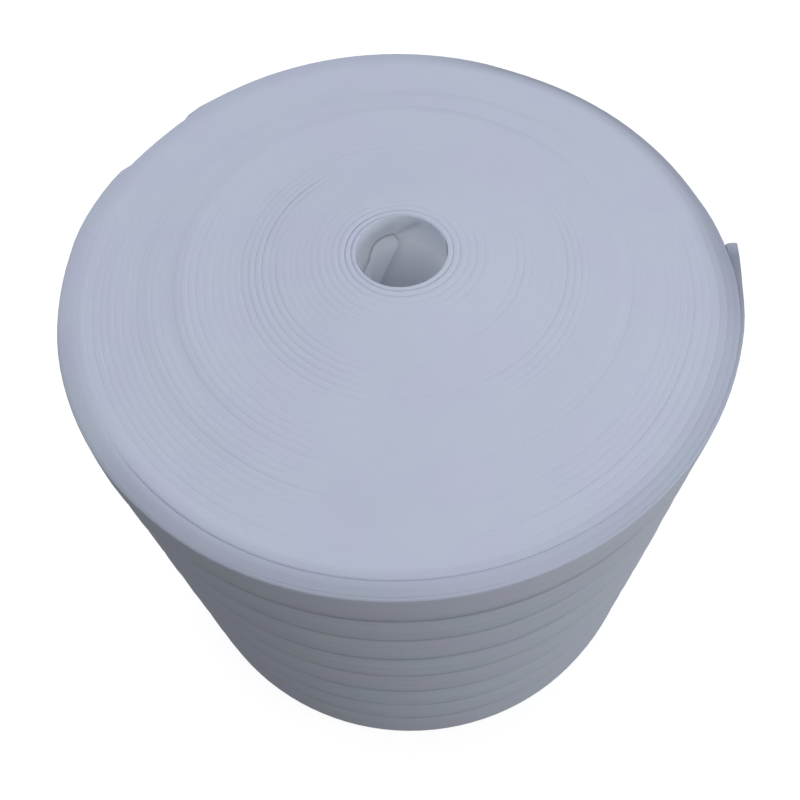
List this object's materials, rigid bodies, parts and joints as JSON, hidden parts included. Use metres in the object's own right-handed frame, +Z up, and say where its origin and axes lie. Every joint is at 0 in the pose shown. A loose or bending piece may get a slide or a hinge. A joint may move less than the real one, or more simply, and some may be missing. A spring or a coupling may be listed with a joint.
{
  "type": "foam wrap roll",
  "caption": "Coreless roll of white foam wrap sheet standing on its end, with a ribbed side, spiral turns on both ends, a spindle hole and a loose outer end.",
  "frame": {"origin": "on the winding axis, at the face that the roll stands on", "axes": "+Z up along the winding axis, -Y towards the picture's camera, +X to its right where the outer end is"},
  "size_m": [0.5394, 0.5306, 0.485],
  "materials": {
    "foam": "soft, slightly waxy closed-cell polyethylene foam, bluish white"
  },
  "bodies": {
    "root": {"foam_roll": "foam"}
  },
  "joints": []
}
